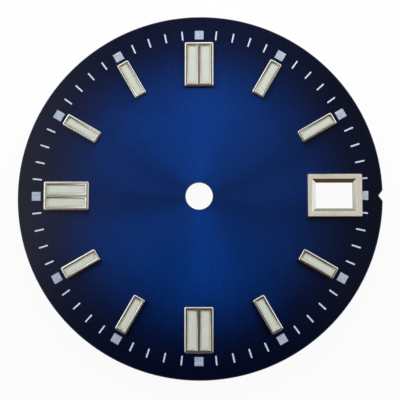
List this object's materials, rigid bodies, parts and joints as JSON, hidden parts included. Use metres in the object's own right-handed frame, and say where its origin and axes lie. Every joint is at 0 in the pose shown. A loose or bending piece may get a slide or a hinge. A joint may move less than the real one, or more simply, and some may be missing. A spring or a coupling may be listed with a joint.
{
  "type": "watch dial",
  "caption": "Round sunburst blue watch dial with applied lume-filled bar markers, a framed date window, a printed minute track and rear dial feet.",
  "frame": {"origin": "centre of the hand hole in the plane of the plate's back face", "axes": "+Z out of the face towards the reader, +Y to 12 o'clock, +X to 3 o'clock and the date window"},
  "size_m": [0.0285, 0.0284, 0.0028],
  "materials": {
    "blue_lacquer": "brass brushed in rays from the centre under clear blue lacquer that darkens to the rim; the back is bare nickelled brass",
    "polished_plating": "diamond cut brass, plated in a pale warm silver and polished",
    "trough_lume": "fine grained luminous compound, pale greenish white",
    "plot_lume": "thin printed luminous compound, pale grey blue",
    "printed_ink": "pad printed ink, cool white",
    "soldered_copper": "turned copper alloy, satin"
  },
  "bodies": {
    "root": {"date_frame": "polished_plating", "dial_foot_left": "soldered_copper", "dial_foot_right": "soldered_copper", "dial_plate": "blue_lacquer", "hour_plot_01": "plot_lume", "hour_plot_02": "plot_lume", "hour_plot_03": "plot_lume", "hour_plot_04": "plot_lume", "hour_plot_05": "plot_lume", "hour_plot_06": "plot_lume", "hour_plot_07": "plot_lume", "hour_plot_08": "plot_lume", "hour_plot_09": "plot_lume", "hour_plot_10": "plot_lume", "hour_plot_11": "plot_lume", "hour_plot_12": "plot_lume", "lume_fill_01": "trough_lume", "lume_fill_02": "trough_lume", "lume_fill_04": "trough_lume", "lume_fill_05": "trough_lume", "lume_fill_06_a": "trough_lume", "lume_fill_06_b": "trough_lume", "lume_fill_07": "trough_lume", "lume_fill_08": "trough_lume", "lume_fill_09_a": "trough_lume", "lume_fill_09_b": "trough_lume", "lume_fill_10": "trough_lume", "lume_fill_11": "trough_lume", "lume_fill_12_a": "trough_lume", "lume_fill_12_b": "trough_lume", "marker_frame_01": "polished_plating", "marker_frame_02": "polished_plating", "marker_frame_04": "polished_plating", "marker_frame_05": "polished_plating", "marker_frame_06": "polished_plating", "marker_frame_07": "polished_plating", "marker_frame_08": "polished_plating", "marker_frame_09": "polished_plating", "marker_frame_10": "polished_plating", "marker_frame_11": "polished_plating", "marker_frame_12": "polished_plating", "minute_track": "printed_ink"}
  },
  "joints": []
}
